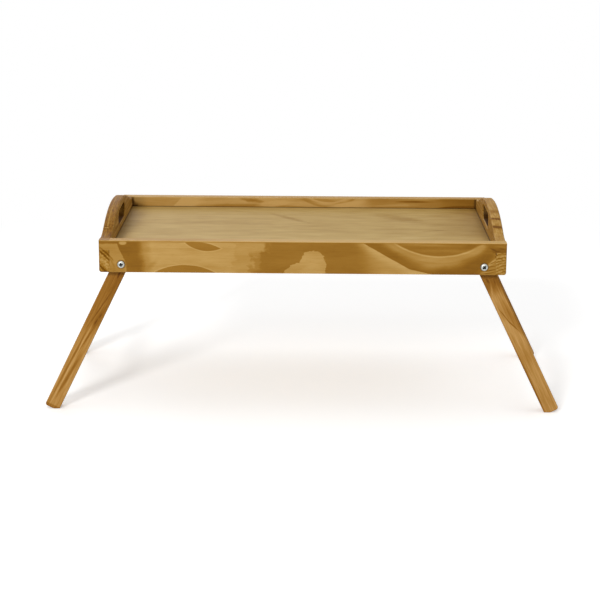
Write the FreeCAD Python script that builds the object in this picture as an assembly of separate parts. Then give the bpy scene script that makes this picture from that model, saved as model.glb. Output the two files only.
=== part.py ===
import FreeCAD, Part
import math
import os

# Bed tray table: a wooden tray with a hand slot at each end, on two leg frames
# that fold flat under it. Millimetres. +X is to the right, +Y to the rear, +Z up.
# The origin is on the floor under the middle of the tray, with the legs opened out.

# The tray's frame: two long rails and two end panels, finger jointed
trayLength = 500.0
trayDepth = 300.0
railHeight = 40.0
railThickness = 15.0
endThickness = 13.0
endHeight = 62.5
fingerHeight = 12.0         # the rails' upper finger, which runs to the tray's ends
boardArris = 1.0
baseRound = 3.0             # rounding along the outer lower edge of an end panel

# The ogee along the top of an end panel
ogeeInset = 18.0            # from the tray's front or rear to the ogee's foot
crownShare = 0.77           # of the ogee's reach; the rest is the hollow at its foot
ogeeBevel = 1.3

# Hand slot
slotLength = 80.0
slotHeight = 19.0
slotWeb = 9.5               # wood left above the slot
slotBevel = 1.3

# Plywood floor, let into grooves
floorThickness = 4.0
floorDrop = 13.4            # from the rails' top down to the floor
grooveDepth = 5.0
groovePlay = 0.2            # above the floor
grooveEndPlay = 0.3
cornerOpening = 4.0         # what the floor's clipped corners leave open

# Legs
legWidth = 19.0
legDepth = 18.0
legReach = 212.0            # from the pivot to the square cut of the foot
legSplay = 26.0             # degrees from upright when opened
legBevel = 1.0
footRound = 3.5
footTrim = 3.1              # height taken off the foot's inner corner, flat to the floor
pivotRise = 10.2            # from the rails' lower edge up to the pivot
stopRise = 3.0              # height of the bevel that an opened leg leans on
stopPlay = 0.1

# Crossbar between the two legs of a frame
crossbarDiameter = 12.0
crossbarDrop = 128.0        # from the pivot, along the leg
crossbarTenon = 9.0         # length let into each leg
crossbarBevel = 0.8
socketPlay = 0.05           # radial
socketEndPlay = 0.5

# Pivot screws, with a cross recess in a pan head, and their washers
shankDiameter = 4.8
shankHold = 14.0            # length in the leg
tipLength = 2.0
tipDiameter = 2.4
threadBite = 0.15           # how far the thread cuts into the wall of its pilot hole
pilotEndPlay = 1.0
pivotPlay = 0.08            # radial, in the rail's hole
turningPlay = 0.1           # beside each face that turns on another
headDiameter = 9.6
headRim = 1.5               # height of its upright rim
headHeight = 3.2
crownDiameter = 5.8         # its flat top
recessSpan = 5.2
recessRoot = 1.8            # span at the bottom of the recess
recessWidth = 1.15
recessDepth = 2.3
recessTurns = {"front_left": 8.0, "front_right": 40.0, "rear_left": 25.0, "rear_right": 65.0}
washerDiameter = 12.0
washerThickness = 1.2
washerPlay = 0.25           # radial, on the shank

cutOver = 1.0               # how far a cutting tool runs past what it cuts

splay = math.radians(legSplay)
halfLength = trayLength / 2
halfDepth = trayDepth / 2
innerLength = halfLength - endThickness
innerDepth = halfDepth - railThickness

# The foot's trimmed corner stands on the floor, which sets the height of the tray
pivotZ = legReach * math.cos(splay) + legWidth / 2 * math.sin(splay) - footTrim
baseZ = pivotZ - pivotRise
railTopZ = baseZ + railHeight
fingerZ = railTopZ - fingerHeight
crestZ = baseZ + endHeight
slotZ = crestZ - slotWeb - slotHeight / 2
floorTopZ = railTopZ - floorDrop
floorBaseZ = floorTopZ - floorThickness

# An opened leg leans on the bevel at the foot of the end panel, which sets its pivot
leanX = innerLength + (stopRise - pivotRise) * math.tan(splay)
pivotX = leanX - (legWidth / 2 + stopPlay) / math.cos(splay)
legOuterY = innerDepth - turningPlay - washerThickness
legInnerY = legOuterY - legDepth

origin = FreeCAD.Vector(0, 0, 0)
xAxis = FreeCAD.Vector(1, 0, 0)
yAxis = FreeCAD.Vector(0, 1, 0)
zAxis = FreeCAD.Vector(0, 0, 1)


# Places of an outline's points: in a plane across the tray, or in one along it
def across(x):
    return lambda y, z: FreeCAD.Vector(x, y, z)


def along(y):
    return lambda x, z: FreeCAD.Vector(x, y, z)


# A closed outline: each step is the next point, or the middle and the end of an arc
def outline(place, start, *steps):
    edges = []
    here = place(*start)
    for step in steps:
        stops = [place(*point) for point in step] if isinstance(step[0], tuple) else [place(*step)]
        curve = Part.Arc(here, *stops) if len(stops) == 2 else Part.LineSegment(here, *stops)
        edges.append(curve.toShape())
        here = stops[-1]
    if here.distanceToPoint(place(*start)) > 0.001:
        edges.append(Part.LineSegment(here, place(*start)).toShape())
    return Part.Face(Part.Wire(edges))


def block(low, high):
    size = FreeCAD.Vector(*high) - FreeCAD.Vector(*low)
    return Part.makeBox(size.x, size.y, size.z, FreeCAD.Vector(*low))


def rod(radius, start, end):
    return Part.makeCylinder(radius, start.distanceToPoint(end), start, end - start)


def rounded(solid, radius, chosen):
    return solid.makeFillet(radius, [edge for edge in solid.Edges if chosen(edge)]).Solids[0]


def bevelled(solid, width, chosen):
    return solid.makeChamfer(width, [edge for edge in solid.Edges if chosen(edge)]).Solids[0]


# Whether an edge's ends and middle lie between two values along an axis
def within(edge, axis, low, high):
    middle = edge.valueAt((edge.FirstParameter + edge.LastParameter) / 2)
    points = [vertex.Point for vertex in edge.Vertexes] + [middle]
    return all(low - 0.01 < getattr(point, axis) < high + 0.01 for point in points)


def at(edge, axis, *values):
    return any(within(edge, axis, value, value) for value in values)


def mirrored(shape, normal):
    return shape.mirror(origin, normal)


# Front rail: full length at its upper finger, and between the end panels below it
def makeRail():
    rail = block((-halfLength, -halfDepth, baseZ), (halfLength, -innerDepth, railTopZ))
    for side in (xAxis, -xAxis):
        notch = block((innerLength, -halfDepth, baseZ), (halfLength, -innerDepth, fingerZ))
        rail = rail.cut(notch if side.x > 0 else mirrored(notch, xAxis))
    rail = rounded(rail, boardArris, isRailArris)
    groove = block((-halfLength, -innerDepth - grooveDepth, floorBaseZ),
                   (halfLength, -innerDepth + cutOver, floorTopZ + groovePlay))
    rail = rail.cut(groove)
    for x in (-pivotX, pivotX):
        start = FreeCAD.Vector(x, -halfDepth - cutOver, pivotZ)
        end = FreeCAD.Vector(x, -innerDepth + cutOver, pivotZ)
        rail = rail.cut(rod(shankDiameter / 2 + pivotPlay, start, end))
    return rail


# The rail's long edges, and the upright ones of its fingers at the tray's corners
def isRailArris(edge):
    lengthwise = at(edge, "z", baseZ, railTopZ) and at(edge, "y", -halfDepth, -innerDepth)
    fingerTip = at(edge, "x", -halfLength, halfLength) and at(edge, "y", -halfDepth)
    return lengthwise or fingerTip


# Half of the ogee, towards the rear where side is 1 and the front where it is -1: its foot,
# the hollow's middle and end. There the hollow meets the crown, which is one arc over the
# panel's middle.
def ogee(side):
    footY = halfDepth - ogeeInset
    turn = 2 * math.atan2(crestZ - railTopZ, footY)
    radius = (1 - crownShare) * footY / math.sin(turn)

    def hollow(angle):
        return side * (footY - radius * math.sin(angle)), railTopZ + radius * (1 - math.cos(angle))

    return hollow(0), hollow(turn / 2), hollow(turn)


# Right end panel: lower fingers to the tray's front and rear, ogee top, hand slot,
# stopped groove for the floor, and the bevel that the opened legs lean on
def makeEndPanel():
    foot, hollow, turned = ogee(1)
    farFoot, farHollow, farTurned = ogee(-1)
    panel = outline(
        across(halfLength),
        (-halfDepth, baseZ), (halfDepth, baseZ), (halfDepth, fingerZ),
        (innerDepth, fingerZ), (innerDepth, railTopZ), foot, (hollow, turned),
        ((0, crestZ), farTurned), (farHollow, farFoot),
        (-innerDepth, railTopZ), (-innerDepth, fingerZ), (-halfDepth, fingerZ),
    ).extrude(-xAxis * endThickness)
    panel = bevelled(panel, ogeeBevel, isOgeeEdge)
    panel = rounded(panel, baseRound, lambda edge: at(edge, "x", halfLength) and at(edge, "z", baseZ))
    panel = bevelled(panel, boardArris, isFingerEdge)
    panel = bevelled(panel.cut(slotTool()), slotBevel, isSlotEdge)
    grooveY = innerDepth + grooveDepth
    groove = block((innerLength - cutOver, -grooveY, floorBaseZ),
                   (innerLength + grooveDepth, grooveY, floorTopZ + groovePlay))
    return panel.cut(groove).cut(stopTool())


def isOgeeEdge(edge):
    onTop = within(edge, "z", railTopZ, crestZ) and within(edge, "y", -innerDepth, innerDepth)
    return onTop and at(edge, "x", innerLength, halfLength)


# The upright outer edges of the panel's fingers, at the tray's corners
def isFingerEdge(edge):
    corner = at(edge, "x", halfLength) and at(edge, "y", -halfDepth, halfDepth)
    return corner and within(edge, "z", baseZ, fingerZ)


def isSlotEdge(edge):
    inSlot = within(edge, "y", -slotLength / 2, slotLength / 2)
    inSlot = inSlot and within(edge, "z", slotZ - slotHeight / 2, slotZ + slotHeight / 2)
    return inSlot and at(edge, "x", innerLength, halfLength)


# The hand slot: straight above and below, and round at its ends
def slotTool():
    half = slotLength / 2
    radius = slotHeight / 2
    straight = half - radius
    slot = outline(
        across(halfLength + cutOver),
        (-straight, slotZ - radius), (straight, slotZ - radius),
        ((half, slotZ), (straight, slotZ + radius)),
        (-straight, slotZ + radius),
        ((-half, slotZ), (-straight, slotZ - radius)),
    )
    return slot.extrude(-xAxis * (endThickness + 2 * cutOver))


# The space of an opened leg and its stop's play, all along the panel between the rails
def stopTool():
    low = (-legWidth / 2, -innerDepth, -legReach)
    high = (legWidth / 2 + stopPlay, innerDepth, 0)
    return opened(block(low, high))


# Turns what hangs straight down from the pivot out to the splay, at the right pivot
def opened(shape):
    placed = shape.copy()
    placed.rotate(origin, yAxis, -legSplay)
    placed.translate(FreeCAD.Vector(pivotX, 0, pivotZ))
    return placed


# Plywood floor: let into all four grooves, with its corners clipped
def makeFloor():
    reachX = innerLength + grooveDepth - grooveEndPlay
    reachY = innerDepth + grooveDepth - grooveEndPlay
    clip = grooveDepth - grooveEndPlay + cornerOpening
    panel = block((-reachX, -reachY, floorBaseZ), (reachX, reachY, floorTopZ))
    return bevelled(panel, clip, lambda edge: at(edge, "x", -reachX, reachX)
                    and at(edge, "y", -reachY, reachY))


# Front right leg: rounded about the pivot at its head, and cut square at its foot, with
# the outer corner rounded and the inner one trimmed flat to the floor
def makeLeg():
    half = legWidth / 2
    turned = footRound * (1 - math.sqrt(0.5))
    leg = outline(
        along(-legOuterY),
        (half, 0), ((0, half), (-half, 0)),
        (-half, footTrim / math.cos(splay) - legReach),
        (footTrim / math.sin(splay) - half, -legReach),
        (half - footRound, -legReach),
        ((half - turned, turned - legReach), (half, footRound - legReach)),
    ).extrude(yAxis * legDepth)
    leg = bevelled(leg, legBevel, lambda edge: at(edge, "y", -legOuterY, -legInnerY))
    pilot = rod(shankDiameter / 2 - threadBite, FreeCAD.Vector(0, -legOuterY - cutOver, 0),
                FreeCAD.Vector(0, -legOuterY + shankHold + pilotEndPlay, 0))
    socketEnd = -legInnerY - crossbarTenon - socketEndPlay
    socket = rod(crossbarDiameter / 2 + socketPlay,
                 FreeCAD.Vector(0, -legInnerY + cutOver, -crossbarDrop),
                 FreeCAD.Vector(0, socketEnd, -crossbarDrop))
    return opened(leg.cut(pilot).cut(socket))


# Right crossbar: a dowel let into both legs of its frame
def makeCrossbar():
    reach = legInnerY + crossbarTenon
    bar = rod(crossbarDiameter / 2, FreeCAD.Vector(0, -reach, -crossbarDrop),
              FreeCAD.Vector(0, reach, -crossbarDrop))
    return opened(bevelled(bar, crossbarBevel, lambda edge: at(edge, "y", -reach, reach)))


# Front right pivot screw, turned with its head up and then laid into place
def makeScrew(turn):
    shank = shankDiameter / 2
    rim = headDiameter / 2
    length = railThickness + 2 * turningPlay + washerThickness + shankHold
    profile = outline(
        along(0),
        (0, -length), (tipDiameter / 2, -length), (shank, tipLength - length), (shank, 0),
        (rim, 0), (rim, headRim), (crownDiameter / 2, headHeight), (0, headHeight),
    )
    screw = profile.revolve(origin, zAxis, 360)
    screw = screw.cut(recessTool(turn)).cut(recessTool(turn + 90))
    screw.rotate(origin, xAxis, 90)
    screw.translate(FreeCAD.Vector(pivotX, -halfDepth - turningPlay, pivotZ))
    return screw


# One tapered slot of the cross recess
def recessTool(turn):
    flare = (recessSpan - recessRoot) / 2 / recessDepth * cutOver
    slot = outline(
        along(-recessWidth / 2),
        (-recessRoot / 2, headHeight - recessDepth), (recessRoot / 2, headHeight - recessDepth),
        (recessSpan / 2 + flare, headHeight + cutOver),
        (-recessSpan / 2 - flare, headHeight + cutOver),
    ).extrude(yAxis * recessWidth)
    slot.rotate(origin, zAxis, turn)
    return slot


# Front right washer, between the rail and the leg
def makeWasher():
    near = FreeCAD.Vector(pivotX, -legOuterY - washerThickness, pivotZ)
    far = FreeCAD.Vector(pivotX, -legOuterY, pivotZ)
    return rod(washerDiameter / 2, near, far).cut(rod(shankDiameter / 2 + washerPlay, near, far))


# All pieces by name. Those on the left and at the rear mirror the ones above.
def makePieces():
    rail = makeRail()
    panel = makeEndPanel()
    crossbar = makeCrossbar()
    pieces = {"front_rail": rail, "rear_rail": mirrored(rail, yAxis)}
    pieces.update({"right_end_panel": panel, "left_end_panel": mirrored(panel, xAxis)})
    pieces.update({"right_crossbar": crossbar, "left_crossbar": mirrored(crossbar, xAxis)})
    pieces["bottom_panel"] = makeFloor()
    leg = makeLeg()
    washer = makeWasher()
    for corner, turn in recessTurns.items():
        for name, shape in (("leg", leg), ("pivot_screw", makeScrew(turn)), ("washer", washer)):
            placed = mirrored(shape, yAxis) if corner.startswith("rear") else shape
            placed = mirrored(placed, xAxis) if corner.endswith("left") else placed
            pieces[name + "_" + corner] = placed
    return pieces


os.makedirs("parts", exist_ok=True)
for name, shape in makePieces().items():
    shape.exportStep("parts/" + name + ".step")
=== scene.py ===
import math

import bmesh
import bpy
from mathutils import Matrix, Vector


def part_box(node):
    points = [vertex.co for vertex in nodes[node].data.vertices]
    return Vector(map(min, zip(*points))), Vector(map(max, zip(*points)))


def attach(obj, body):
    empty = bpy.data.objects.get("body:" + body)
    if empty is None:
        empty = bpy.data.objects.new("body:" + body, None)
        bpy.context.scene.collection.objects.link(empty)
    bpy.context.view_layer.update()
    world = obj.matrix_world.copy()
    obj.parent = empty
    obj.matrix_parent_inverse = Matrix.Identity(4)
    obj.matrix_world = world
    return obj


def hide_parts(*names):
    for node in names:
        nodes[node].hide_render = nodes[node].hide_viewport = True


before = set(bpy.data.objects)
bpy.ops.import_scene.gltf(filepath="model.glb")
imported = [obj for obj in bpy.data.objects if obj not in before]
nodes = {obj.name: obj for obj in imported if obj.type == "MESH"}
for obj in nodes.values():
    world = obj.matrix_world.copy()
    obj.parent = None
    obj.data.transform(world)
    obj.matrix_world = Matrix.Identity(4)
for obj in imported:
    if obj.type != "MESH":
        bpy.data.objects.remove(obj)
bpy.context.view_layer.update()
scene = bpy.context.scene
scene.view_settings.view_transform = "Standard"
perMetre = 1000  # the frame is in metres, most sizes below in millimetres
splay = math.radians(26)  # how far the legs are opened out
pivot = (222.807, 124.7, 191.609)  # middle of the right rear leg at its screw
print("frame loaded:", len(nodes), "nodes")


# camera at the photograph's viewing angle: place in metres, angles in radians
view = {
    "place": (0.01043, -2.25987, 0.68107),
    "pitch": 0.2474,  # looking down
    "yaw": -0.0063,
    "roll": 0.0064,
    "lens": 105.9,
    "sensor": 36.0,
    "farClip": 100,
}


def addObject(name, data):
    made = bpy.data.objects.new(name, data)
    scene.collection.objects.link(made)
    return made


def setCamera(view):
    pitch, yaw, roll = view["pitch"], view["yaw"], view["roll"]
    ahead = Vector((math.sin(yaw) * math.cos(pitch), math.cos(yaw) * math.cos(pitch), -math.sin(pitch)))
    right = Vector((math.cos(yaw), -math.sin(yaw), 0))
    up = right.cross(ahead)
    rolledRight = math.cos(roll) * right + math.sin(roll) * up
    rolledUp = math.cos(roll) * up - math.sin(roll) * right
    lens = bpy.data.cameras.new("camera")
    lens.lens = view["lens"]
    lens.sensor_width = view["sensor"]
    lens.clip_end = view["farClip"]
    camera = addObject("camera", lens)
    turned = Matrix((rolledRight, rolledUp, -ahead)).transposed().to_4x4()
    camera.matrix_world = Matrix.Translation(view["place"]) @ turned
    scene.camera = camera


setCamera(view)


# shader nodes: sums and products of wires add Math nodes

seedStep = (3.1, 1.7, 0.9)  # how far one seed moves a noise along each axis
halfway = 0.5  # the middle of a value that runs from 0 to 1


def setStops(ramp, stops):
    while len(ramp.elements) < len(stops):
        ramp.elements.new(1.0)
    for element, (place, colour) in zip(ramp.elements, stops):
        element.position = place
        element.color = colour


def feed(node, values):  # wires are linked to a node's inputs, other values are set there
    for name, value in values.items():
        if isinstance(value, Wire):
            value.tree.links.new(value.socket, node.inputs[name])
        else:
            node.inputs[name].default_value = value


class Wire:
    def __init__(self, tree, socket=None):
        self.tree = tree
        self.socket = socket

    def node(self, kind, settings={}, inputs={}, output=0):
        made = self.tree.nodes.new("ShaderNode" + kind)
        for name, value in settings.items():
            if name == "stops":
                setStops(made.color_ramp, value)
            else:
                setattr(made, name, value)
        feed(made, inputs)
        return Wire(self.tree, made.outputs[output])

    def math(self, operation, *values):
        return self.node("Math", {"operation": operation}, dict(enumerate(values)))

    def __add__(self, other):
        return self.math("ADD", self, other)

    __radd__ = __add__

    def __sub__(self, other):
        return self.math("SUBTRACT", self, other)

    def __rsub__(self, other):
        return self.math("SUBTRACT", other, self)

    def __mul__(self, other):
        return self.math("MULTIPLY", self, other)

    __rmul__ = __mul__

    def __truediv__(self, other):
        return self.math("DIVIDE", self, other)

    def __rtruediv__(self, other):
        return self.math("DIVIDE", other, self)

    def size(self):
        return self.math("ABSOLUTE", self)

    def fraction(self):
        return self.math("FRACT", self)

    def least(self, other):
        return self.math("MINIMUM", self, other)

    def most(self, other):
        return self.math("MAXIMUM", self, other)

    def reach(self, other):  # the length of the two together
        squares = self * self + other * other
        return self.math("SQRT", squares)

    def centred(self):  # a value from 0 to 1, moved to run either side of 0
        return self - halfway

    def smooth(self, low, high):  # 0 at low, 1 at high, eased between
        return self.node("MapRange", {"interpolation_type": "SMOOTHSTEP"},
                         {"Value": self, "From Min": low, "From Max": high})

    def toward(self, target, share):  # this value moved to target by share
        return self + (target - self) * share

    def between(self, first, second):  # the first colour where this is 0, the second where it is 1
        colours = {0: self, 6: first, 7: second}  # the sockets for the factor and the two colours
        return self.node("Mix", {"data_type": "RGBA"}, colours, 2)

    def parts(self):
        split = self.node("SeparateXYZ", inputs={0: self})
        return [Wire(self.tree, socket) for socket in split.socket.node.outputs]

    def joined(self, second, third):
        return self.node("CombineXYZ", inputs={0: self, 1: second, 2: third})

    def beside(self, name):  # another output of the same node
        return Wire(self.tree, self.socket.node.outputs[name])

    def noise(self, stretch, seed, detail, output=0):  # stretch: feature size along each axis
        moved = self.node("Mapping", inputs={
            "Vector": self, "Location": tuple(seed * step for step in seedStep),
            "Scale": tuple(1 / size for size in stretch)})
        return moved.node("TexNoise", inputs={
            "Vector": moved, "Scale": 1.0, "Detail": detail}, output=output)


screenCurve = {"levels": 255, "straightTo": 0.04045, "slope": 12.92, "offset": 0.055, "power": 2.4}


def paint(red, green, blue):  # a colour as seen on screen, 0 to 255
    linear = []
    for value in (red, green, blue):
        share = value / screenCurve["levels"]
        if share <= screenCurve["straightTo"]:
            linear.append(share / screenCurve["slope"])
        else:
            raised = (share + screenCurve["offset"]) / (1 + screenCurve["offset"])
            linear.append(raised ** screenCurve["power"])
    return (*linear, 1.0)


def grey(value):
    return (value, value, value, 1.0)


def newMaterial(name):
    material = bpy.data.materials.new(name)
    material.use_nodes = True
    return material, Wire(material.node_tree), material.node_tree.nodes["Principled BSDF"]


# shapes of the drawn figure, in millimetres: each gives a mask that is 1 inside, with an
# edge that is soft to either side and that roughness breaks up by the ragged amount

def leftOf(first, second, soft, ragged):  # left of the line from the first point to the second
    reach = math.hypot(second[0] - first[0], second[1] - first[1])
    a, b = (first[1] - second[1]) / reach, (second[0] - first[0]) / reach

    def mask(u, v, rough):
        away = u * a + v * b - (first[0] * a + first[1] * b)
        return (away + rough * ragged).smooth(-soft, soft)
    return mask


def below(first, second, soft, ragged):  # the far side of a line that runs to the right
    return leftOf(second, first, soft, ragged)


def ring(centre, radius, half, soft, ragged):  # a line along a circle, half its width to each side
    def mask(u, v, rough):
        away = (u - centre[0]).reach(v - centre[1]) - radius
        return (away + rough * ragged).size().smooth(half + soft, half - soft)
    return mask


def oval(centre, halves, tilt, soft, ragged):  # half sizes along and across, tilt in degrees
    c, s = math.cos(math.radians(tilt)), math.sin(math.radians(tilt))
    least = min(halves)

    def mask(u, v, rough):
        along = (u * c + v * s - (centre[0] * c + centre[1] * s)) / halves[0]
        across = (v * c - u * s - (centre[1] * c - centre[0] * s)) / halves[1]
        away = along.reach(across) + rough * (ragged / least)
        return away.smooth(1 + soft / least, 1 - soft / least)
    return mask


def disc(centre, radius, soft, ragged):
    return oval(centre, (radius, radius), 0, soft, ragged)


# a tone laid where all the shapes overlap, on the board's face, its end grain or its top
def mark(tone, *shapes, strength=1.0, plane="face"):
    return {"tone": tone, "shapes": shapes, "strength": strength, "plane": plane}


def overlap(masks):
    whole = masks[0]
    for mask in masks[1:]:
        whole = whole * mask
    return whole


def boxMask(axes, spans):  # between low and high along each axis named, with that axis's softness
    masks = []
    for letter, (low, high, soft) in spans.items():
        away = (axes[letter] - (low + high) / 2).size()
        masks.append(away.smooth((high - low) / 2 + soft, (high - low) / 2 - soft))
    return overlap(masks)


# wood: rings round a pith line, fibres, stain that takes unevenly, and drawn figure

noiseLayers = {  # what each adds to the board's seed, and its detail
    "wander": (0, 2.0), "drift": (5, 1.0), "fibre": (11, 3.0), "hair": (17, 2.0),
    "cloud": (23, 3.0), "rough": (31, 4.0), "dash": (37, 1.0),
}

pine = {  # the order is the axis along the grain, the one across the face, the one through it
    "order": "xzy", "turn": 0.0, "middle": (0, 0, 0), "seed": 3.0,
    "pith": (150.0, -20.0), "lean": (0.0, 0.0), "ring": 6.0, "drift": 1.6, "driftSize": (900, 60, 60),
    "wander": 5.0, "wanderSize": (260, 40, 40),
    "ringShape": [(0.0, grey(0.25)), (0.12, grey(0.0)), (0.5, grey(0.18)),
                  (0.84, grey(0.8)), (0.95, grey(1.0)), (1.0, grey(0.25))],
    "tone": 0.62, "ringTone": 0.3, "ringsKept": 0.35, "roughSize": (9, 5, 5), "facing": (0.55, 0.85),
    "fibreTone": 0.2, "fibreSize": (30, 1.5, 1.5), "hairTone": 0.12, "hairSize": (14, 0.45, 0.45),
    "cloudTone": 0.3, "cloudSize": (45, 13, 13),
    "dashTone": 0.1, "dashSize": (7, 0.55, 0.55), "dashCut": (0.66, 0.74),
    "endTone": 0.08, "endRing": 0.1, "arrisTone": 0.1, "arrisReach": (1.7, 0.5), "arrisLeast": 0.4,
    "shades": [(0.0, (112, 70, 8)), (0.25, (141, 96, 22)), (0.5, (159, 114, 40)),
               (0.75, (178, 136, 66)), (1.0, (202, 164, 98))],
    # pools of painted shade in corners, slots and along joints, in their own colour
    "figures": [], "shadePools": [], "shadePoolColour": (60, 34, 6), "shadePoolLeast": 0.6, "shadePoolCloud": 0.8,
    "fibreHeight": 0.5, "hairHeight": 0.35, "lateHeight": 0.35, "dashHeight": 0.6,
    "bump": 0.35, "bumpDepth": 0.00018, "gloss": 0.12,
    "roughness": 0.46, "fibreRoughness": 0.16, "endRoughness": 0.14,
}


def layer(local, board, name, output=0):
    step, detail = noiseLayers[name]
    return local.noise(board[name + "Size"], board["seed"] + step, detail, output)


def lateWood(local, u, v, w, board):  # 1 in the dark wood that closes each ring
    wander = layer(local, board, "wander", "Color").parts()
    sway = 2 * board["wander"]
    pithV = v - board["pith"][0] + wander[0].centred() * sway + u * board["lean"][0]
    pithW = w - board["pith"][1] + wander[1].centred() * sway + u * board["lean"][1]
    rings = pithV.reach(pithW) / board["ring"] + layer(local, board, "drift") * board["drift"]
    return local.node("ValToRGB", {"stops": board["ringShape"]}, {"Fac": rings.fraction()})


def figured(tone, late, rough, planes, board):  # the marks, each over the ones before it
    for figure in board["figures"]:
        first, second, cover = planes[figure["plane"]]
        mask = overlap([shape(first, second, rough) for shape in figure["shapes"]])
        mask = mask * cover * figure["strength"]
        rings = (halfway - late) * (board["ringTone"] * board["ringsKept"])
        tone = tone.toward(figure["tone"] + rings, mask)
    return tone


def wood(name, board):
    material, start, shader = newMaterial(name)
    spot = start.node("TexCoord", output="Object")
    shift = -(Matrix.Rotation(board["turn"], 3, "Y") @ Vector(board["middle"]))
    placed = start.node("Mapping", inputs={
        "Vector": spot, "Scale": (perMetre, perMetre, perMetre),
        "Rotation": (0, board["turn"], 0), "Location": shift})
    axes = dict(zip("xyz", placed.parts()))
    u, v, w = (axes[letter] for letter in board["order"])  # u runs along the grain
    local = u.joined(v, w)
    late = lateWood(local, u, v, w, board)
    fibre, hair, cloud = (layer(local, board, kind) for kind in ("fibre", "hair", "cloud"))
    rough = layer(local, board, "rough").centred()
    dash = layer(local, board, "dash").smooth(*board["dashCut"])

    normal = start.node("TexCoord", output="Normal")
    grainWay = Vector([float(letter == board["order"][0]) for letter in "xyz"])
    grainWay = Matrix.Rotation(-board["turn"], 3, "Y") @ grainWay
    endGrain = start.node("VectorMath", {"operation": "DOT_PRODUCT"}, {0: normal, 1: grainWay}, "Value")
    endGrain = endGrain.size().smooth(*board["facing"])
    upward = normal.parts()[2].smooth(*board["facing"])
    planes = {"face": (u, v, 1.0), "end": (w, v, endGrain), "top": (u, w, upward)}

    tone = (halfway - late) * board["ringTone"] + board["tone"]
    tone = figured(tone, late, rough, planes, board)
    tone = tone + fibre.centred() * board["fibreTone"] + hair.centred() * board["hairTone"]
    tone = tone + cloud.centred() * board["cloudTone"] - dash * board["dashTone"]
    tone = tone - endGrain * (board["endTone"] + late * board["endRing"])
    if "arris" in board:  # handled edges, lighter where the stain is rubbed thin
        midV, halfV, midW, halfW = board["arris"]
        nearV = halfV - (v - midV).size()
        nearW = halfW - (w - midW).size()
        worn = nearV.most(nearW).smooth(*board["arrisReach"])
        tone = tone + worn * board["arrisTone"] * (board["arrisLeast"] + cloud)
    shades = [(place, paint(*shade)) for place, shade in board["shades"]]
    colour = start.node("ValToRGB", {"stops": shades}, {"Fac": tone.most(0.0).least(1.0)})
    for spans, strength in board["shadePools"]:  # painted shade pooled in corners, slots and along joints
        share = boxMask(axes, spans) * (board["shadePoolLeast"] + cloud * board["shadePoolCloud"]) * strength
        colour = share.between(colour, paint(*board["shadePoolColour"]))

    height = (fibre * board["fibreHeight"] + hair * board["hairHeight"]
              - late * board["lateHeight"] - dash * board["dashHeight"])
    bump = start.node("Bump", inputs={
        "Strength": board["bump"], "Distance": board["bumpDepth"], "Height": height})
    dull = board["roughness"] + fibre * board["fibreRoughness"] + endGrain * board["endRoughness"]
    feed(shader, {"Base Color": colour, "Roughness": dull,
                  "Specular IOR Level": board["gloss"], "Normal": bump})
    return material


# pieces: copies of the nodes with eased edges, in metres

softEdge = {
    "merge": 2e-6,
    "flat": 0.005,  # radians
    "angle": 50,  # degrees
    "width": 0.0003,
    "rounds": 2,
}


def newMesh(name, shape):
    mesh = bpy.data.meshes.new(name)
    shape.to_mesh(mesh)
    shape.free()
    return mesh


def shade(shape, angle):  # smooth, but for the edges sharper than the angle in degrees
    bmesh.ops.recalc_face_normals(shape, faces=shape.faces)
    for face in shape.faces:
        face.smooth = True
    for edge in shape.edges:
        edge.smooth = edge.calc_face_angle(0.0) < math.radians(angle)


def addPiece(name, mesh, material, node, body):
    piece = addObject(name, mesh)
    mesh.materials.clear()
    mesh.materials.append(material)
    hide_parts(node)
    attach(piece, body)
    return piece


def dressed(node, name, material, body, softened=True):
    shape = bmesh.new()
    shape.from_mesh(nodes[node].data)
    bmesh.ops.remove_doubles(shape, verts=shape.verts, dist=softEdge["merge"])
    bmesh.ops.dissolve_limit(shape, angle_limit=softEdge["flat"], verts=shape.verts, edges=shape.edges)
    shade(shape, softEdge["angle"])
    piece = addPiece(name, newMesh(name, shape), material, node, body)
    if softened:
        bevel = piece.modifiers.new("softEdge", "BEVEL")
        bevel.width = softEdge["width"]
        bevel.segments = softEdge["rounds"]
        bevel.limit_method = "ANGLE"
        bevel.angle_limit = math.radians(softEdge["angle"])
        bevel.harden_normals = False
    level = piece.modifiers.new("evenShade", "WEIGHTED_NORMAL")
    level.keep_sharp = True
    return piece


# rails: the face is drawn along x and z, the top along x and y; a pool of painted shade is
# the low end, high end and softness along each axis it is limited in, then its strength

faceShadePool = {"nearShare": 0.985, "soft": 0.2}  # the painted shade's end, as a share of the face's y
fingerRings = (-311, 132)  # middle of the rings that show at the left front finger


def railShadePools(inner):  # painted shade along the floor and in the corners, on the rail's inner face
    low, high = sorted((inner, inner * faceShadePool["nearShare"]))
    face = (low, high, faceShadePool["soft"])
    return [({"z": (206, 208.8, 0.4), "y": face}, 0.7),
            ({"x": (234.4, 240, 1.0), "y": face, "z": (206, 222, 0.3)}, 0.8),
            ({"x": (-240, -234.4, 1.0), "y": face, "z": (206, 222, 0.3)}, 0.8),
            ({"x": (-240, -229.5, 1.0), "y": face, "z": (206, 210.5, 0.8)}, 0.9),
            ({"x": (-240, -222, 9), "y": face}, 0.3)]


stripEdge = leftOf((-227, 216), (-219.4, 198.9), 0.6, 2.5)
leaf = {"upper": (-132.3, 152.1), "upperRadius": 68.2,
        "lower": (-116.5, 251.3), "lowerRadius": 42.2, "ragged": 0.8}
hill = {"centre": (-144.6, 113.2), "radius": 78.1}
slopeEdge = [leftOf((76, 219.3), (132, 187.5), 0.45, 1.2), leftOf((130, 188.6), (162, 181), 0.45, 1.2)]
bowl = {"centre": (167.5, 303.0), "radius": 98.0}


def leafShape(grown, soft):  # where two discs overlap
    return [disc(leaf["upper"], leaf["upperRadius"] + grown, soft, leaf["ragged"]),
            disc(leaf["lower"], leaf["lowerRadius"] + grown, soft, leaf["ragged"])]


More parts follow.
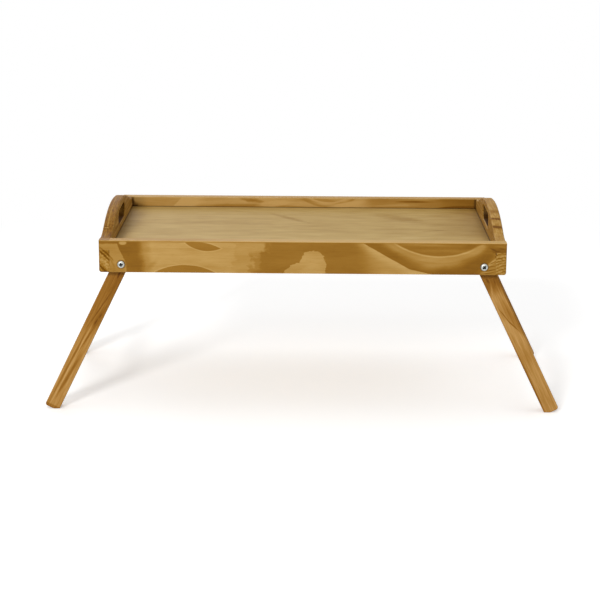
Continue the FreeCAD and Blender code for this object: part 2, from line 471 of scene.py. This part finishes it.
frontRail = {
    **pine, "tone": 0.84, "ringTone": 0.08, "pith": (150.0, -60.0), "ring": 9.0,
    "fibreTone": 0.16, "hairTone": 0.1, "cloudTone": 0.26, "arris": (201.4, 20, -142.5, 7.5),
    "shadePools": railShadePools(-135.1),
    "figures": [
        # left end: the dark strip by the screw, with its slanted edge, and thin arcs outside it
        mark(0.68, leftOf((-219.4, 198.9), (-227, 216), 0.6, 2.5)),
        mark(0.66, stripEdge, leftOf((-187, 170), (-189, 230), 5, 12), strength=0.8),
        mark(0.22, stripEdge, leftOf((-196, 170), (-199, 230), 6, 8)),
        mark(0.22, leftOf((-216.5, 230), (-216.5, 170), 0.8, 2),
             leftOf((-196, 170), (-199, 230), 6, 8), below((-300, 196), (300, 196), 1, 1)),
        mark(0.5, oval((-187, 190), (7, 2.2), 35, 2.5, 2), strength=0.6),
        mark(0.4, ring((-250, 186), 18.3, 0.9, 1.2, 3), leftOf((-216, 170), (-216, 230), 1, 0),
             strength=0.8),
        mark(0.5, leftOf((-217, 170), (-221, 230), 2, 3), below((-300, 190), (300, 190), 5, 6),
             strength=0.7),
        mark(0.3, ring(fingerRings, 101.9, 0.7, 0.7, 1.5),
             leftOf((-232.5, 170), (-232.5, 230), 1, 0)),
        # leaf and hill, each with a pale rim
        mark(0.98, *leafShape(1.3, 0.9), strength=0.7),
        mark(0.45, *leafShape(0.0, 0.35)),
        mark(0.98, disc(hill["centre"], hill["radius"] + 1.2, 0.9, 0.8), strength=0.7),
        mark(0.45, disc(hill["centre"], hill["radius"], 0.35, 0.8)),
        # middle: three bands that darken to the right, and the pale patch in them
        mark(0.78, leftOf((-82, 230), (-86, 170), 2.5, 26)),
        mark(0.58, leftOf((-58, 230), (-66, 170), 2.5, 26), below((-90, 206), (60, 206), 4, 18)),
        mark(0.38, leftOf((-42, 219), (-58, 182), 3.5, 24), leftOf((84, 170), (86, 230), 24, 6)),
        mark(0.82, oval((12, 192.5), (16.5, 18.2), 0, 0.4, 10.0)),
        mark(0.82, oval((0, 178), (23.5, 17.5), 0, 0.4, 10.0)),
        mark(0.9, oval((12, 186), (11, 9), 0, 6, 6), strength=0.8),
        # right of the middle: the long slope, and the bowl above it with its rim
        mark(0.8, leftOf((76, 230), (90, 170), 18, 6)),
        mark(0.95, leftOf((64, 219.3), (122, 185.5), 5, 2), leftOf((66, 230), (80, 170), 12, 6),
             strength=0.7),
        mark(0.7, *slopeEdge),
        mark(0.24, *slopeEdge, leftOf((150, 188), (98, 222), 9, 3)),
        mark(0.78, ring(bowl["centre"], bowl["radius"] + 6, 2.5, 4, 3), *slopeEdge, strength=0.8),
        mark(0.5, ring(bowl["centre"], bowl["radius"] + 9.5, 0.5, 1.5, 3), *slopeEdge, strength=0.5),
        mark(0.02, oval((188, 177), (42, 14), 0, 6, 3), slopeEdge[1], strength=0.85),
        mark(0.98, ring(bowl["centre"], bowl["radius"] + 1.4, 0.8, 0.9, 1), strength=0.85),
        mark(0.36, disc(bowl["centre"], bowl["radius"], 0.45, 1)),
        mark(0.62, oval((172, 211.5), (26, 1.6), 0, 2, 2), strength=0.7),
        mark(0.66, oval((150, 218.5), (30, 1.4), -1, 1.2, 1), strength=0.8),
        mark(0.14, oval((209, 218), (16, 3), 14, 1.5, 1), strength=0.6),
        # by the right screw: dark wood, then the pale tongue under it with fine dark lines
        mark(0.2, oval((226, 205), (14, 8), 50, 5, 3), strength=0.85),
        mark(0.14, oval((211, 193), (23, 9.5), 20, 6, 3), strength=0.9),
        mark(0.56, below((215.7, 180.6), (227, 194), 0.5, 2.5),
             below((227, 194), (236.7, 203), 0.5, 2.5), strength=0.9),
        mark(0.94, oval((231, 196), (8, 1.6), 42, 1.2, 1), strength=0.8),
        mark(0.9, oval((224, 184), (8, 1.6), 20, 1.2, 1), strength=0.7),
        mark(0.12, oval((230.5, 187.4), (6.5, 0.6), 14, 0.5, 1)),
        mark(0.1, oval((231.8, 192.3), (5.5, 0.6), 10, 0.5, 1)),
        mark(0.12, oval((226, 183.6), (8, 0.6), 8, 0.5, 1)),
        mark(0.16, oval((233, 197), (4, 0.5), 28, 0.5, 1)),
        mark(0.74, oval((216, 215.8), (9, 2.4), 24, 1.5, 2)),
        # right finger: dark, with streaks that run to the tray's end
        mark(0.28, leftOf((222, 222), (231, 207), 4, 4), leftOf((200, 209.3), (260, 209.3), 0.5, 1),
             strength=0.9),
        mark(0.2, leftOf((232, 230), (232, 190), 1.5, 3), below((200, 215.6), (260, 214.6), 1.0, 3),
             leftOf((200, 209.3), (260, 209.3), 0.4, 1)),
        mark(0.0, oval((233.5, 213.4), (4.2, 1.0), -24, 0.6, 1.6)),
        mark(0.0, oval((238.5, 211.2), (3.6, 0.8), 8, 0.6, 1.4)),
        mark(0.05, oval((243.5, 214.6), (3.4, 0.8), -12, 0.6, 1.4)),
        mark(0.52, oval((241, 217.4), (6, 1.0), -4, 0.8, 1.4), strength=0.8),
        # left finger's upper edge, cracks in the right joint's corner, and the top edge
        mark(0.2, leftOf((-225, 200), (-225, 240), 0.4, 0.6),
             leftOf((-300, 217.2), (300, 217.2), 1.2, 3)),
        mark(0.86, oval((-220.4, 218.6), (4.6, 2.6), 0, 0.6, 0.8)),
        mark(0.0, oval((236.6, 208.0), (0.7, 1.5), 12, 0.3, 0.6)),
        mark(0.0, oval((236.2, 204.3), (0.6, 1.2), 0, 0.3, 0.6)),
        # painted shade with stain built up: a darker line under the top edge
        mark(0.3, leftOf((-300, 219.7), (300, 219.7), 0.3, 0.3), strength=0.6),
        # painted sheen on the sanded top: the top and its upper edge paler
        mark(0.97, leftOf((-300, 220.75), (300, 220.75), 0.25, 0.2)),
        # top: darker to the left, with two scratches on the left finger
        mark(0.76, leftOf((-70, -200), (-110, 0), 60, 10), plane="top"),
        mark(0.42, leftOf((-237, -200), (-237, 0), 0.6, 1), plane="top"),
        mark(0.06, oval((-245.5, -145), (8, 0.9), -48, 0.7, 1.5),
             leftOf((-237, -200), (-237, 0), 1, 0), plane="top"),
        mark(0.06, oval((-241, -142), (8, 0.8), -48, 0.7, 1.5),
             leftOf((-237, -200), (-237, 0), 1, 0), plane="top"),
        # painted shadow round the screw heads
        mark(0.0, disc((-222.8, 191.6), 5.3, 0.5, 0.6)),
        mark(0.0, disc((222.8, 191.6), 5.3, 0.5, 0.6)),
    ],
}

rearRail = {
    **pine, "seed": 9.0, "tone": 0.82, "ringTone": 0.2, "pith": (196.0, 176.0), "lean": (0.03, 0.0),
    "ring": 7.0, "arris": (201.4, 20, 142.5, 7.5), "shadePools": railShadePools(135.1),
    "figures": [
        # inner face, from its left end to its right end
        mark(0.79, leftOf((-183, 206), (-171, 218), 0.8, 2)),
        mark(1.0, leftOf((-171, 218), (-183, 206), 0.8, 2), leftOf((-150, 206), (-138, 222), 8, 4)),
        mark(0.6, oval((-100, 206), (46, 6), 3, 2, 2)),
        mark(0.36, oval((-72, 217.5), (12, 2.2), -8, 1.8, 5), strength=0.8),
        mark(1.0, oval((-42, 213), (22, 4), 6, 1.5, 2)),
        mark(0.7, oval((26, 217), (34, 3), -5, 1.0, 1.5)),
        mark(1.0, ring((34, 268), 53.5, 1.3, 0.9, 1.5), strength=0.8),
        mark(0.62, ring((34, 268), 58.5, 1.6, 1.2, 1.5), strength=0.8),
        mark(0.95, oval((60, 213), (26, 3), 10, 1.2, 1)),
        mark(0.65, leftOf((84, 230), (100, 170), 12, 8)),
        mark(0.84, oval((120, 211.5), (30, 1.6), 2, 1.2, 1), strength=0.8),
        mark(0.2, leftOf((180, 230), (236, 170), 24, 6), strength=0.8),
        mark(0.1, oval((152, 217), (20, 1.2), 0, 0.8, 0.6)),
        mark(0.02, oval((206, 207), (34, 4.2), 4, 0.9, 1)),
        # top, with a painted shade line along its far edge
        mark(0.76, leftOf((-300, 130), (300, 130), 0.3, 0), plane="top"),
        mark(0.02, leftOf((-300, 148.6), (300, 148.6), 0.3, 0.6),
             oval((-20, 150), (105, 9), 0, 3, 0), plane="top"),
    ],
}

dressed("front_rail", "front_rail_board", wood("frontRailPine", frontRail), "tray")
dressed("rear_rail", "rear_rail_board", wood("rearRailPine", rearRail), "tray")


# end panels: the face is drawn along y and z, the fingers' ends along x and z, the top along y and x

crown = (0, -62.9)  # the middle of the crown's arc
endShadePools = [  # painted shade in the slot, along the floor, and in the two corners
    ({"y": (-17, 42, 5), "z": (213.5, 236, 1), "x": (238.4, 248.6, 0.4)}, 0.95),
    ({"z": (206, 209.0, 0.5), "x": (234, 238, 0.3)}, 0.7),
    ({"y": (132.6, 136, 0.8), "z": (206, 222, 0.4), "x": (234, 238, 0.3)}, 0.9),
    ({"y": (-136, -132.6, 0.8), "z": (206, 222, 0.4), "x": (234, 238, 0.3)}, 0.6),
]


def mirrored(shadePools):
    swapped = []
    for spans, strength in shadePools:
        low, high, soft = spans["x"]
        swapped.append(({**spans, "x": (-high, -low, soft)}, strength))
    return swapped


leftEnd = {
    **pine, "order": "yzx", "seed": 14.0, "pith": (132.0, -311.0), "ring": 7.6,
    "tone": 0.2, "wander": 3.0, "fibreTone": 1.3, "fibreSize": (70, 2.2, 2.2), "hairTone": 0.8,
    "gloss": 0.04, "shadePools": mirrored(endShadePools),
    "figures": [
        # the face above the joint's line, and the whole top
        mark(0.66, leftOf((0, 209.4), (1, 209.4), 0.6, 0)),
        mark(0.2, leftOf((-300, -300), (300, -300), 1, 0), plane="top"),
        # end grain, with its rings
        mark(0.57, leftOf((-200, 170), (-200, 230), 1, 0), plane="end"),
        mark(0.86, ring(fingerRings, 92.5, 3.4, 1.5, 2), strength=0.8, plane="end"),
        mark(0.02, ring(fingerRings, 98.0, 0.9, 0.8, 1.5), plane="end"),
        mark(0.02, ring(fingerRings, 101.9, 0.8, 0.7, 1.5), plane="end"),
        mark(0.9, ring(fingerRings, 99.9, 0.5, 0.5, 1), strength=0.7, plane="end"),
        mark(0.05, ring(fingerRings, 85.0, 1.3, 1.0, 2.5), plane="end"),
        mark(0.2, ring(fingerRings, 81.0, 1.2, 1.0, 2), strength=0.8, plane="end"),
        # streaks and a nick along the crown, and its rubbed inner edge
        mark(0.06, leftOf((-95, -260), (-95, -230), 6, 3), strength=0.5, plane="top"),
        mark(0.16, oval((-40, -246.6), (72, 0.5), 0.6, 0.5, 1), strength=0.8, plane="top"),
        mark(0.2, oval((-68, -242.4), (58, 0.5), -0.8, 0.5, 1), strength=0.8, plane="top"),
        mark(0.85, oval((-60, -244.6), (70, 0.6), 0, 0.6, 1), strength=0.7, plane="top"),
        mark(0.05, oval((-98, -246), (0.8, 3.4), 4, 0.4, 0.5), plane="top"),
        mark(1.0, oval((-100.6, -246), (0.8, 3.4), 4, 0.4, 0.5), plane="top"),
        mark(0.95, oval((62, 238.5), (26, 2.2), -12, 1, 2), ring(crown, 306.2, 1.4, 0.6, 2),
             strength=0.9),
    ],
}

rightEnd = {
    **pine, "order": "yzx", "seed": 21.0, "pith": (90.0, 262.0), "ring": 4.0, "ringTone": 0.26,
    "tone": 0.52, "wanderSize": (120, 16, 16), "endTone": -0.12, "endRing": 0.3,
    "fibreTone": 1.0, "fibreSize": (50, 2.2, 2.2), "hairTone": 0.6, "gloss": 0.07, "shadePools": endShadePools,
    "figures": [
        # the face above the joint's line, and the whole top
        mark(0.6, leftOf((0, 209.4), (1, 209.4), 0.6, 0)),
        mark(0.64, leftOf((-300, 0), (300, 0), 1, 0), plane="top"),
        # bands across the front of the crown, and its rubbed inner edge
        mark(0.26, oval((-46, 243), (5, 14), 14, 2.5, 3), strength=0.8, plane="top"),
        mark(0.74, oval((-60, 243), (5.5, 14), 12, 2, 3), plane="top"),
        mark(0.06, oval((-70, 243), (2.6, 14), 10, 1.4, 3), plane="top"),
        mark(0.76, oval((-81, 243), (6.5, 14), 10, 2, 3), plane="top"),
        mark(0.02, oval((-92, 243), (3.0, 14), 10, 1.6, 2), plane="top"),
        mark(0.7, oval((-110, 243), (13, 14), 0, 3, 3), plane="top"),
        mark(0.95, oval((84, 234), (20, 2.6), -16, 1, 2), ring(crown, 306.2, 1.4, 0.6, 2),
             strength=0.9),
    ],
}

dressed("left_end_panel", "left_end_board", wood("leftEndPine", leftEnd), "tray")
dressed("right_end_panel", "right_end_board", wood("rightEndPine", rightEnd), "tray")


# floor: the face is drawn along x and y

plywood = {
    **pine, "order": "xyz", "seed": 27.0, "pith": (-420.0, 160.0), "ring": 22.0,
    "wander": 34.0, "wanderSize": (300, 60, 60), "tone": 0.68, "ringTone": 0.04,
    "fibreTone": 0.45, "fibreSize": (26, 1.6, 1.6), "hairTone": 0.3,
    "cloudTone": 0.6, "cloudSize": (50, 16, 16), "dashTone": 0.05, "bump": 0.2, "gloss": 0.05,
    "shades": [(0.0, (132, 96, 38)), (0.25, (152, 117, 56)), (0.5, (172, 139, 76)),
               (0.75, (189, 158, 96)), (1.0, (202, 174, 114))],
    "figures": [
        # darker at both ends, soft streaks between, paler towards the front
        mark(0.22, leftOf((190, 200), (200, -200), 50, 0), strength=0.75),
        mark(0.25, leftOf((-222, -200), (-216, 200), 16, 0), strength=0.6),
        mark(0.3, oval((131, 62), (36, 13), -40, 9, 12), strength=0.7),
        mark(0.42, oval((-120, 30), (70, 9), -6, 8, 14), strength=0.5),
        mark(0.2, oval((170, -15), (13, 1.4), 22, 1.4, 2), strength=0.6),
        mark(0.3, oval((-20, 62), (34, 5), -51, 3.5, 8), strength=0.7),
        mark(0.86, oval((-171, -7), (28, 9), -30, 7, 6), strength=0.5),
        mark(0.9, below((-300, -50), (300, -50), 30, 10), strength=0.5),
    ],
    # painted shade along the rails and the end panels
    "shadePools": [({"y": (133.6, 140, 0.7)}, 0.5),
              ({"x": (235.6, 242, 0.6)}, 0.6), ({"x": (230, 242, 5)}, 0.2),
              ({"x": (-242, -236, 0.6)}, 0.4), ({"x": (-242, -228, 6)}, 0.25),
              ({"y": (-140, -133, 1.0)}, 0.5)],
}

dressed("bottom_panel", "floor_panel", wood("plywoodVeneer", plywood), "tray")
print("tray boards done")


# legs: drawn along the grain from the pivot down, and across, towards the right

legPine = {
    **pine, "ring": 4.6, "pith": (40.0, 30.0), "lean": (0.03, 0.015),
    "wander": 3.0, "wanderSize": (200, 30, 30),
    "shades": [(0.0, (112, 66, 8)), (0.25, (141, 92, 22)), (0.5, (160, 110, 40)),
               (0.75, (179, 131, 63)), (1.0, (203, 158, 94))],
    "ringTone": 0.26, "tone": 0.56, "fibreTone": 0.6, "hairTone": 0.4, "arris": (0, 9.5, 0, 9),
}


def legBoard(way, depth, seed, **more):  # way: 1 right, -1 left; depth: 1 rear, -1 front
    turn = math.atan2(-math.cos(splay), way * math.sin(splay))
    middle = (way * pivot[0], depth * pivot[1], pivot[2])
    return {**legPine, "turn": turn, "middle": middle, "seed": seed, **more}


legBoards = {
    "front_left": legBoard(-1, -1, 33.0, tone=0.72, ringTone=0.16, figures=[
        # darker near the pivot (painted shade under the rail), streaks along the grain, dark at the foot
        mark(0.42, leftOf((100, -20), (92, 20), 16, 3)),
        mark(0.26, oval((30, 6), (24, 4.2), 0, 2.5, 3)),
        mark(0.22, oval((77, 4.6), (16, 3.2), -6, 2, 3), strength=0.8),
        mark(0.02, oval((64, 0.9), (24, 0.8), -8.5, 0.6, 1)),
        mark(0.05, oval((75.4, 4.7), (3, 0.8), -5, 0.5, 0.8)),
        mark(0.05, oval((85.2, 3.1), (3.2, 0.8), -5, 0.5, 0.8)),
        mark(0.0, oval((18, 3.2), (4.5, 1.2), 6, 0.6, 0.8)),
        mark(0.3, oval((106, 2.2), (20, 1.0), -7, 0.8, 1)),
        mark(0.34, oval((163, 1.6), (26, 1.5), -4.5, 0.9, 1)),
        mark(0.34, oval((148, -4.1), (42, 1.1), -2.3, 0.8, 1)),
        mark(0.98, oval((109, -0.4), (16, 0.8), -2, 0.6, 0.8), strength=0.85),
        mark(0.98, oval((165, -2.5), (34, 0.8), -1.8, 0.6, 0.8), strength=0.85),
        mark(0.9, oval((155, 7.8), (46, 1.4), -2, 0.8, 1), strength=0.8),
        mark(0.22, leftOf((207.5, 20), (207.5, -20), 1.2, 1), strength=0.7),
    ]),
    "front_right": legBoard(1, -1, 41.0, tone=0.79, ringTone=0.1, figures=[
        # darker near the pivot (painted shade under the rail), then flecks and streaks along the grain
        mark(0.34, leftOf((40, -20), (36, 20), 10, 5)),
        mark(0.0, oval((22, -3.4), (3.6, 1.1), 10, 0.6, 0.8), strength=0.8),
        mark(0.04, oval((26.6, 3.6), (4, 0.9), -10, 0.6, 0.8), strength=0.8),
        mark(0.94, oval((38, -4.8), (9, 1.1), -16, 0.8, 1), strength=0.6),
        mark(0.8, oval((57, -1), (13, 4.4), 10, 3, 2)),
        mark(0.5, oval((79, 5), (23, 4.2), 8, 2, 1.5), strength=0.8),
        mark(0.86, oval((90, -3.4), (21, 3.4), 12, 1.2, 1.5)),
        mark(0.12, oval((72, -3.2), (9, 0.6), 14, 0.4, 0.8), strength=0.8),
        mark(0.14, oval((88, 1.6), (10, 0.8), 22, 0.4, 0.8), strength=0.8),
        mark(0.24, oval((167, -8.8), (48, 1.5), 0, 1.2, 1)),
        mark(0.3, oval((52, 8.8), (50, 1.0), 0, 0.8, 1)),
    ]),
    "rear_left": legBoard(-1, 1, 52.0),
    "rear_right": legBoard(1, 1, 63.0),
}

for corner, board in legBoards.items():
    body = corner.split("_")[1] + "_leg_frame"
    leg = "leg_" + corner
    dressed(leg, leg + "_bar", wood("pineLeg_" + corner, board), body)


# crossbars: the pith lies up and out from the dowel's middle by the last two numbers

crossbar = {
    **pine, "order": "yzx", "seed": 70.0, "ring": 2.2, "ringTone": 0.16, "wander": 1.5,
    "wanderSize": (160, 14, 14), "cloudSize": (30, 6, 6), "dashTone": 0.22, "tone": 0.56,
    "pithUp": -3, "pithOut": 9,
}

for end, way in (("left", -1), ("right", 1)):
    low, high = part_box(end + "_crossbar")
    centre = (low + high) / 2 * perMetre
    pith = (centre.z + crossbar["pithUp"], centre.x + crossbar["pithOut"])
    board = {**crossbar, "seed": crossbar["seed"] + way, "pith": pith}
    dressed(end + "_crossbar", end + "_crossbar_dowel", wood("beechDowel_" + end, board),
            end + "_leg_frame")
print("legs and crossbars done")


# zinc plate, with painted shade in the recess, which is left dull

zincPlate = {
    "shade": (200, 203, 198), "dullShade": (170, 175, 170), "recessPaintedShade": (10, 12, 12),
    "recess": 3.5, "recessSoft": 0.2,  # how far it goes from the screw's middle
    "depth": 152.8, "depthSoft": 0.3,  # how far out the recess begins, from the tray's middle
    "cloud": (0.004, 0.004, 0.004), "cloudSeed": 2.0, "cloudDetail": 3.0,  # sizes in metres
    "brush": (0.0006, 0.0006, 0.0006), "brushSeed": 7.0, "brushDetail": 2.0,
    "bump": 0.2, "bumpDepth": 0.00004, "metalDrop": 0.8,
    "roughness": 0.26, "cloudRoughness": 0.16, "recessRoughness": 0.3,
}


def zinc(name, plate):
    material, start, shader = newMaterial(name)
    spot = start.node("TexCoord", output="Object")
    x, y, z = start.node("VectorMath", {"operation": "SCALE"}, {0: spot, "Scale": perMetre}).parts()
    cloud = spot.noise(plate["cloud"], plate["cloudSeed"], plate["cloudDetail"])
    brushed = spot.noise(plate["brush"], plate["brushSeed"], plate["brushDetail"])
    away = (x.size() - pivot[0]).reach(z - pivot[2])
    inside = away.smooth(plate["recess"] + plate["recessSoft"], plate["recess"] - plate["recessSoft"])
    inside = inside * y.size().smooth(plate["depth"], plate["depth"] - plate["depthSoft"])
    bright = cloud.between(paint(*plate["shade"]), paint(*plate["dullShade"]))
    bump = start.node("Bump", inputs={
        "Strength": plate["bump"], "Distance": plate["bumpDepth"], "Height": brushed})
    feed(shader, {
        # painted shade in the recess
        "Base Color": inside.between(bright, paint(*plate["recessPaintedShade"])),
        "Metallic": 1.0 - inside * plate["metalDrop"],
        "Roughness": (plate["roughness"] + cloud * plate["cloudRoughness"]
                      + inside * plate["recessRoughness"]),
        "Normal": bump})
    return material


# pivot screws: spun pan heads with a tapered cross cut in, turned differently at each corner

panHead = {
    "profile": [(0.0, 3.2), (0.9, 3.19), (1.8, 3.12), (2.7, 2.94), (3.4, 2.66), (4.0, 2.24),
                (4.45, 1.7), (4.7, 1.1), (4.8, 0.6), (4.8, 0.2), (4.68, 0.0), (2.4, 0.0)],
    "head": 3.2, "shank": 2.4, "tip": 1.2, "tipLength": 2.0, "steps": 48, "merge": 1e-4, "sharp": 35,
    "recessDepth": 2.3, "cutterTop": 4.0, "topSpan": 6.4, "rootSpan": 2.2,
    "width": 2.0, "topShare": 1.05, "rootShare": 0.8,  # shares of the width
    "turns": {"front_left": 8, "front_right": 40, "rear_left": 25, "rear_right": 65},
}


def crossArm(panHead, quarter):  # one arm of the recess's cutter, wide at the top and narrow at the root
    cutter = bmesh.new()
    bmesh.ops.create_cube(cutter, size=1.0)
    for corner in cutter.verts:
        top = corner.co.z > 0
        corner.co.x *= panHead["topSpan"] if top else panHead["rootSpan"]
        corner.co.y *= panHead["width"] * (panHead["topShare"] if top else panHead["rootShare"])
        corner.co.z = panHead["cutterTop"] if top else panHead["head"] - panHead["recessDepth"]
    turn = Matrix.Rotation(math.radians(90 * quarter), 3, "Z")
    bmesh.ops.rotate(cutter, verts=cutter.verts, matrix=turn)
    return addObject("recessCutter", newMesh("recessCutter", cutter))


def screwMesh(panHead, length):  # in millimetres, from the underside of the head, tip down
    turned = bmesh.new()
    shank = [(panHead["shank"], panHead["tipLength"] - length),
             (panHead["tip"], -length), (0.0, -length)]
    line = [turned.verts.new((reach, 0, rise)) for reach, rise in panHead["profile"] + shank]
    edges = [turned.edges.new(pair) for pair in zip(line, line[1:])]
    bmesh.ops.spin(turned, geom=line + edges, cent=(0, 0, 0), axis=(0, 0, 1), angle=math.tau,
                   steps=panHead["steps"], use_merge=True)
    bmesh.ops.remove_doubles(turned, verts=turned.verts, dist=panHead["merge"])
    bmesh.ops.recalc_face_normals(turned, faces=turned.faces)
    blank = addObject("screwBlank", newMesh("screwBlank", turned))
    tools = [crossArm(panHead, quarter) for quarter in range(2)]
    for tool in tools:
        cut = blank.modifiers.new("recess", "BOOLEAN")
        cut.operation = "DIFFERENCE"
        cut.solver = "EXACT"
        cut.object = tool
    bpy.context.view_layer.update()
    ready = blank.evaluated_get(bpy.context.evaluated_depsgraph_get())
    finished = bpy.data.meshes.new_from_object(ready)
    for spent in [blank, *tools]:
        bpy.data.objects.remove(spent)
    return finished


def placedScrew(panHead, corner):
    low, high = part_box("pivot_screw_" + corner)
    centre = (low + high) / 2
    outward = -1 if corner.startswith("front") else 1
    seat = (high.y if outward > 0 else -low.y) - panHead["head"] / perMetre  # under the head
    mesh = screwMesh(panHead, (high.y - low.y) * perMetre - panHead["head"])
    stand = Matrix.Rotation(math.radians(-90 * outward), 4, "X")  # the head faces out of the rail
    spin = Matrix.Rotation(math.radians(panHead["turns"][corner]), 4, "Z")
    moved = Matrix.Translation((centre.x, outward * seat, centre.z))
    mesh.transform(moved @ stand @ spin @ Matrix.Scale(1 / perMetre, 4))
    shape = bmesh.new()
    shape.from_mesh(mesh)
    bmesh.ops.remove_doubles(shape, verts=shape.verts, dist=panHead["merge"] / perMetre)
    shade(shape, panHead["sharp"])
    shape.to_mesh(mesh)
    shape.free()
    mesh.name = "screw_" + corner
    return mesh


zincFinish = zinc("zincPlate", zincPlate)
for corner in panHead["turns"]:
    body = corner.split("_")[1] + "_leg_frame"
    mesh = placedScrew(panHead, corner)
    addPiece("screw_" + corner, mesh, zincFinish, "pivot_screw_" + corner, body)
    washer = "washer_" + corner
    dressed(washer, washer + "_disc", zincFinish, body, softened=False)
print("screws and washers done")


# studio floor, world and lamps, in metres

studio = {
    "floor": 40.0, "cells": 4, "floorShade": 0.8, "floorLift": 0.33, "shadowReach": (0.75, 1.15),
    "sky": 0.34, "aim": (0, 0, 0.15),
    "lamps": [  # name, place, width, depth, strength
        ("key", (-1.3, -3.7, 1.9), 0.8, 0.6, 0.48),
        ("ceiling", (0.2, -0.2, 3.0), 4.5, 4.5, 0.4),
        ("backFill", (-1.2, 3.8, 2.2), 2.5, 2.5, 0.2),
    ],
}


def makeFloor(studio):  # plain for the light it gives back, fading to white for the camera
    plane = bmesh.new()
    bmesh.ops.create_grid(plane, x_segments=studio["cells"], y_segments=studio["cells"],
                          size=studio["floor"] / 2)
    floor = addObject("studioFloor", newMesh("studioFloor", plane))
    material, start, shader = newMaterial("floorPaint")
    camera = start.node("LightPath", output="Is Camera Ray")
    spot = start.node("TexCoord", output="Object")
    away = start.node("VectorMath", {"operation": "LENGTH"}, {0: spot}, "Value")
    plain = start.node("BsdfDiffuse", inputs={"Color": grey(studio["floorShade"])})
    shown = start.node("BsdfDiffuse", inputs={"Color": grey(1.0)})
    lift = start.node("Emission", inputs={"Color": grey(1.0), "Strength": studio["floorLift"]})
    lit = start.node("AddShader", inputs={0: shown, 1: lift})
    white = start.node("Emission", inputs={"Color": grey(1.0), "Strength": 1.0})
    faded = start.node("MixShader", inputs={0: away.smooth(*studio["shadowReach"]), 1: lit, 2: white})
    seen = camera.most(camera.beside("Is Glossy Ray"))
    mixed = start.node("MixShader", inputs={0: seen, 1: plain, 2: faded})
    feed(material.node_tree.nodes["Material Output"], {"Surface": mixed})
    material.node_tree.nodes.remove(shader)
    floor.data.materials.append(material)


def makeWorld(studio):  # white where it is seen, dimmer as a light
    world = bpy.data.worlds.new("studioWorld")
    scene.world = world
    world.use_nodes = True
    rays = Wire(world.node_tree).node("LightPath")
    seen = rays.most(rays.beside("Is Glossy Ray")).most(rays.beside("Is Transmission Ray"))
    strength = studio["sky"] + seen * (1.0 - studio["sky"])
    feed(world.node_tree.nodes["Background"], {"Color": grey(1.0), "Strength": strength})


def makeLamp(name, place, width, depth, level):
    data = bpy.data.lights.new(name, "AREA")
    data.shape = "RECTANGLE"
    data.size = width
    data.size_y = depth
    aim = Vector(studio["aim"]) - Vector(place)
    data.energy = level * math.pi ** 2 * aim.length_squared  # as bright from any distance
    turned = aim.to_track_quat("-Z", "Y").to_matrix().to_4x4()
    addObject(name, data).matrix_world = Matrix.Translation(place) @ turned


makeFloor(studio)
makeWorld(studio)
for lamp in studio["lamps"]:
    makeLamp(*lamp)
print("studio done")
